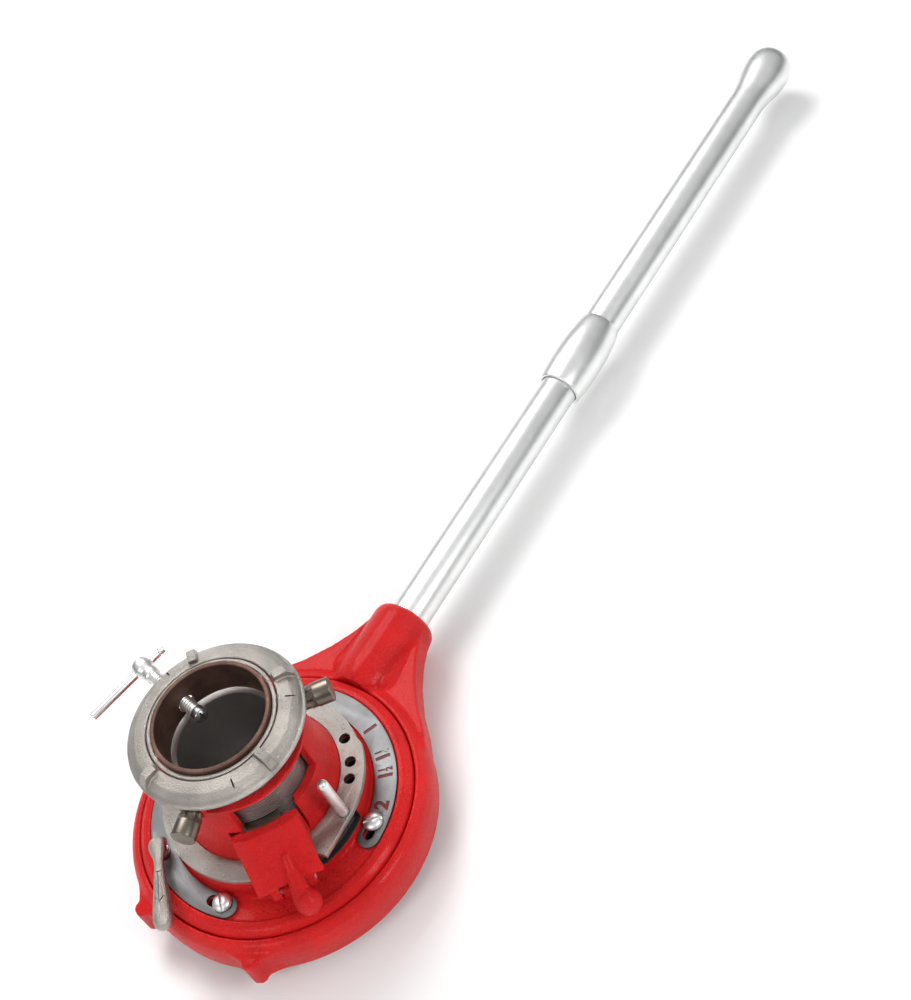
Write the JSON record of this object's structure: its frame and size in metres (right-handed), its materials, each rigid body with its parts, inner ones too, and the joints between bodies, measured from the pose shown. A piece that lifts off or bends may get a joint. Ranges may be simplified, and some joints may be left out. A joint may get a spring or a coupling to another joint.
{
  "type": "pipe threading machine",
  "caption": "Hand ratchet pipe threader with a receding-die head, cam workholder, half-nut lead-screw feed and a long two-piece tubular handle.",
  "frame": {"origin": "bottom centre of the whole tool as it rests on the die-side face: the middle of its length and width, at the height of that face", "axes": "+Z along the tool axis from the dies towards the workholder, +Y along the handle from the head to the grip, +X to the right of that"},
  "size_m": [0.2028, 0.8227, 0.1506],
  "materials": {
    "red_enamel": "bright red enamel on cast iron, glossy over a pebbled casting",
    "nickel_casting": "satin nickel plate over a sand casting",
    "zinc_steel": "bright mottled zinc plate",
    "dial_steel": "grey bead-blasted plate",
    "dark_bronze": "dark bronze, dull",
    "black_oxide": "black oxide, lightly oiled",
    "brown_steel": "browned steel with a worn rim",
    "plain_steel": "machined steel"
  },
  "bodies": {
    "die_head": {"drum_body": "red_enamel", "ratchet_gear": "plain_steel", "ring_retainer": "plain_steel", "hub_cage": "red_enamel", "size_screw_1": "zinc_steel", "size_screw_2": "zinc_steel", "throwout_pin": "zinc_steel", "die_carrier": "plain_steel", "cover_plate": "plain_steel", "cover_screw_1": "zinc_steel", "cover_screw_2": "zinc_steel", "cover_screw_3": "zinc_steel", "cover_screw_4": "zinc_steel", "lock_lever_stud": "zinc_steel"},
    "size_dial": {"size_plate": "dial_steel"},
    "selector": {"selector_plate": "nickel_casting", "die_cam_plate": "plain_steel", "selector_post_1": "plain_steel", "selector_post_2": "plain_steel", "selector_post_3": "plain_steel"},
    "selector_pin": {"selector_pin": "zinc_steel"},
    "die_1": {"die_1": "black_oxide"},
    "die_2": {"die_2": "black_oxide"},
    "die_3": {"die_3": "black_oxide"},
    "die_4": {"die_4": "black_oxide"},
    "throwout": {"throwout_lever": "red_enamel", "throwout_foot": "red_enamel", "half_nut": "dark_bronze"},
    "lock_lever": {"lock_lever": "nickel_casting"},
    "lead_screw": {"lead_screw": "black_oxide"},
    "workholder": {"workholder_body": "red_enamel", "bore_sleeve": "brown_steel", "cam_ring_clip": "zinc_steel", "jaw_cap_1": "dark_bronze", "jaw_cap_2": "dark_bronze"},
    "cam_ring": {"cam_ring": "nickel_casting"},
    "jaw_1": {"jaw_1": "plain_steel"},
    "jaw_2": {"jaw_2": "plain_steel"},
    "clamp_foot": {"clamp_foot": "plain_steel"},
    "clamp_screw": {"clamp_screw": "zinc_steel"},
    "clamp_bar": {"clamp_bar": "zinc_steel"},
    "ratchet": {"ratchet_ring": "red_enamel", "handle_tube": "zinc_steel", "handle_coupling": "zinc_steel", "handle_set_screw": "plain_steel", "pawl_spring": "plain_steel"},
    "pawl": {"pawl": "plain_steel", "pawl_knob": "black_oxide"},
    "grip": {"handle_grip_tube": "zinc_steel"}
  },
  "joints": [
    {"name": "ratchet_turn", "type": "hinge", "parent": "die_head", "child": "ratchet", "pos_m": [0, -0.30465, 0.03], "axis": [0, 0, 1], "continuous": true},
    {"name": "pawl_drop", "type": "slide", "parent": "ratchet", "child": "pawl", "axis": [0, -1, 0], "range_m": [0, 0.0065]},
    {"name": "grip_unscrew", "type": "hinge", "parent": "ratchet", "child": "grip", "pos_m": [0, 0.09, 0.0308], "axis": [0, 1, 0], "continuous": true},
    {"name": "size_dial_adjust", "type": "hinge", "parent": "die_head", "child": "size_dial", "pos_m": [0, -0.30465, 0.048], "axis": [0, 0, 1], "range_deg": [-1.5, 5.5]},
    {"name": "selector_turn", "type": "hinge", "parent": "die_head", "child": "selector", "pos_m": [0, -0.30465, 0.065], "axis": [0, 0, 1], "range_deg": [0, 57]},
    {"name": "selector_pin_lift", "type": "slide", "parent": "selector", "child": "selector_pin", "axis": [-0.0435, -0.003, 0.999], "range_m": [0, 0.0035]},
    {"name": "die_1_in", "type": "slide", "parent": "die_head", "child": "die_1", "axis": [-0.7071, -0.7071, 0], "range_m": [0, 0.0135]},
    {"name": "die_2_in", "type": "slide", "parent": "die_head", "child": "die_2", "axis": [0.7071, -0.7071, 0], "range_m": [0, 0.0135]},
    {"name": "die_3_in", "type": "slide", "parent": "die_head", "child": "die_3", "axis": [0.7071, 0.7071, 0], "range_m": [0, 0.0135]},
    {"name": "die_4_in", "type": "slide", "parent": "die_head", "child": "die_4", "axis": [-0.7071, 0.7071, 0], "range_m": [0, 0.0135]},
    {"name": "throwout_tip", "type": "hinge", "parent": "die_head", "child": "throwout", "pos_m": [0.05477, -0.35061, 0.0575], "axis": [0.6428, 0.766, 0], "range_deg": [0, 14]},
    {"name": "lock_lever_swing", "type": "hinge", "parent": "die_head", "child": "lock_lever", "pos_m": [-0.04637, -0.36486, 0.058], "axis": [0, 0, 1], "range_deg": [-35, 30]},
    {"name": "lead_travel", "type": "slide", "parent": "die_head", "child": "lead_screw", "axis": [0, 0, 1], "range_m": [0, 0.0332]},
    {"name": "workholder_turn", "type": "hinge", "parent": "lead_screw", "child": "workholder", "pos_m": [0, -0.30465, 0.12], "axis": [0, 0, 1], "range_deg": [0, 5400]},
    {"name": "cam_ring_set", "type": "hinge", "parent": "workholder", "child": "cam_ring", "pos_m": [0, -0.30465, 0.14], "axis": [0, 0, 1], "range_deg": [0, 60]},
    {"name": "jaw_1_in", "type": "slide", "parent": "workholder", "child": "jaw_1", "axis": [-0.6884, -0.7254, 0], "range_m": [0, 0.014]},
    {"name": "jaw_2_in", "type": "slide", "parent": "workholder", "child": "jaw_2", "axis": [-0.284, 0.9588, 0], "range_m": [0, 0.014]},
    {"name": "clamp_travel", "type": "slide", "parent": "workholder", "child": "clamp_foot", "axis": [-0.9744, 0.225, 0], "range_m": [-0.004, 0.012]},
    {"name": "clamp_turn", "type": "hinge", "parent": "clamp_foot", "child": "clamp_screw", "pos_m": [-0.07892, -0.28643, 0.13], "axis": [-0.9744, 0.225, 0], "range_deg": [-729, 2169]},
    {"name": "clamp_bar_slide", "type": "slide", "parent": "clamp_screw", "child": "clamp_bar", "axis": [-0.225, -0.9744, 0], "range_m": [-0.034, 0.008]}
  ],
  "couplings": [
    {"joint": "die_1_in", "follows": "selector_turn", "m_per_rad": 0.01347},
    {"joint": "die_2_in", "follows": "selector_turn", "m_per_rad": 0.01347},
    {"joint": "die_3_in", "follows": "selector_turn", "m_per_rad": 0.01347},
    {"joint": "die_4_in", "follows": "selector_turn", "m_per_rad": 0.01347},
    {"joint": "lead_travel", "follows": "workholder_turn", "m_per_rad": 0.00035151},
    {"joint": "jaw_1_in", "follows": "cam_ring_set", "m_per_rad": 0.0133},
    {"joint": "jaw_2_in", "follows": "cam_ring_set", "m_per_rad": 0.0133},
    {"joint": "clamp_turn", "follows": "clamp_travel", "rad_per_m": 3141.6}
  ]
}
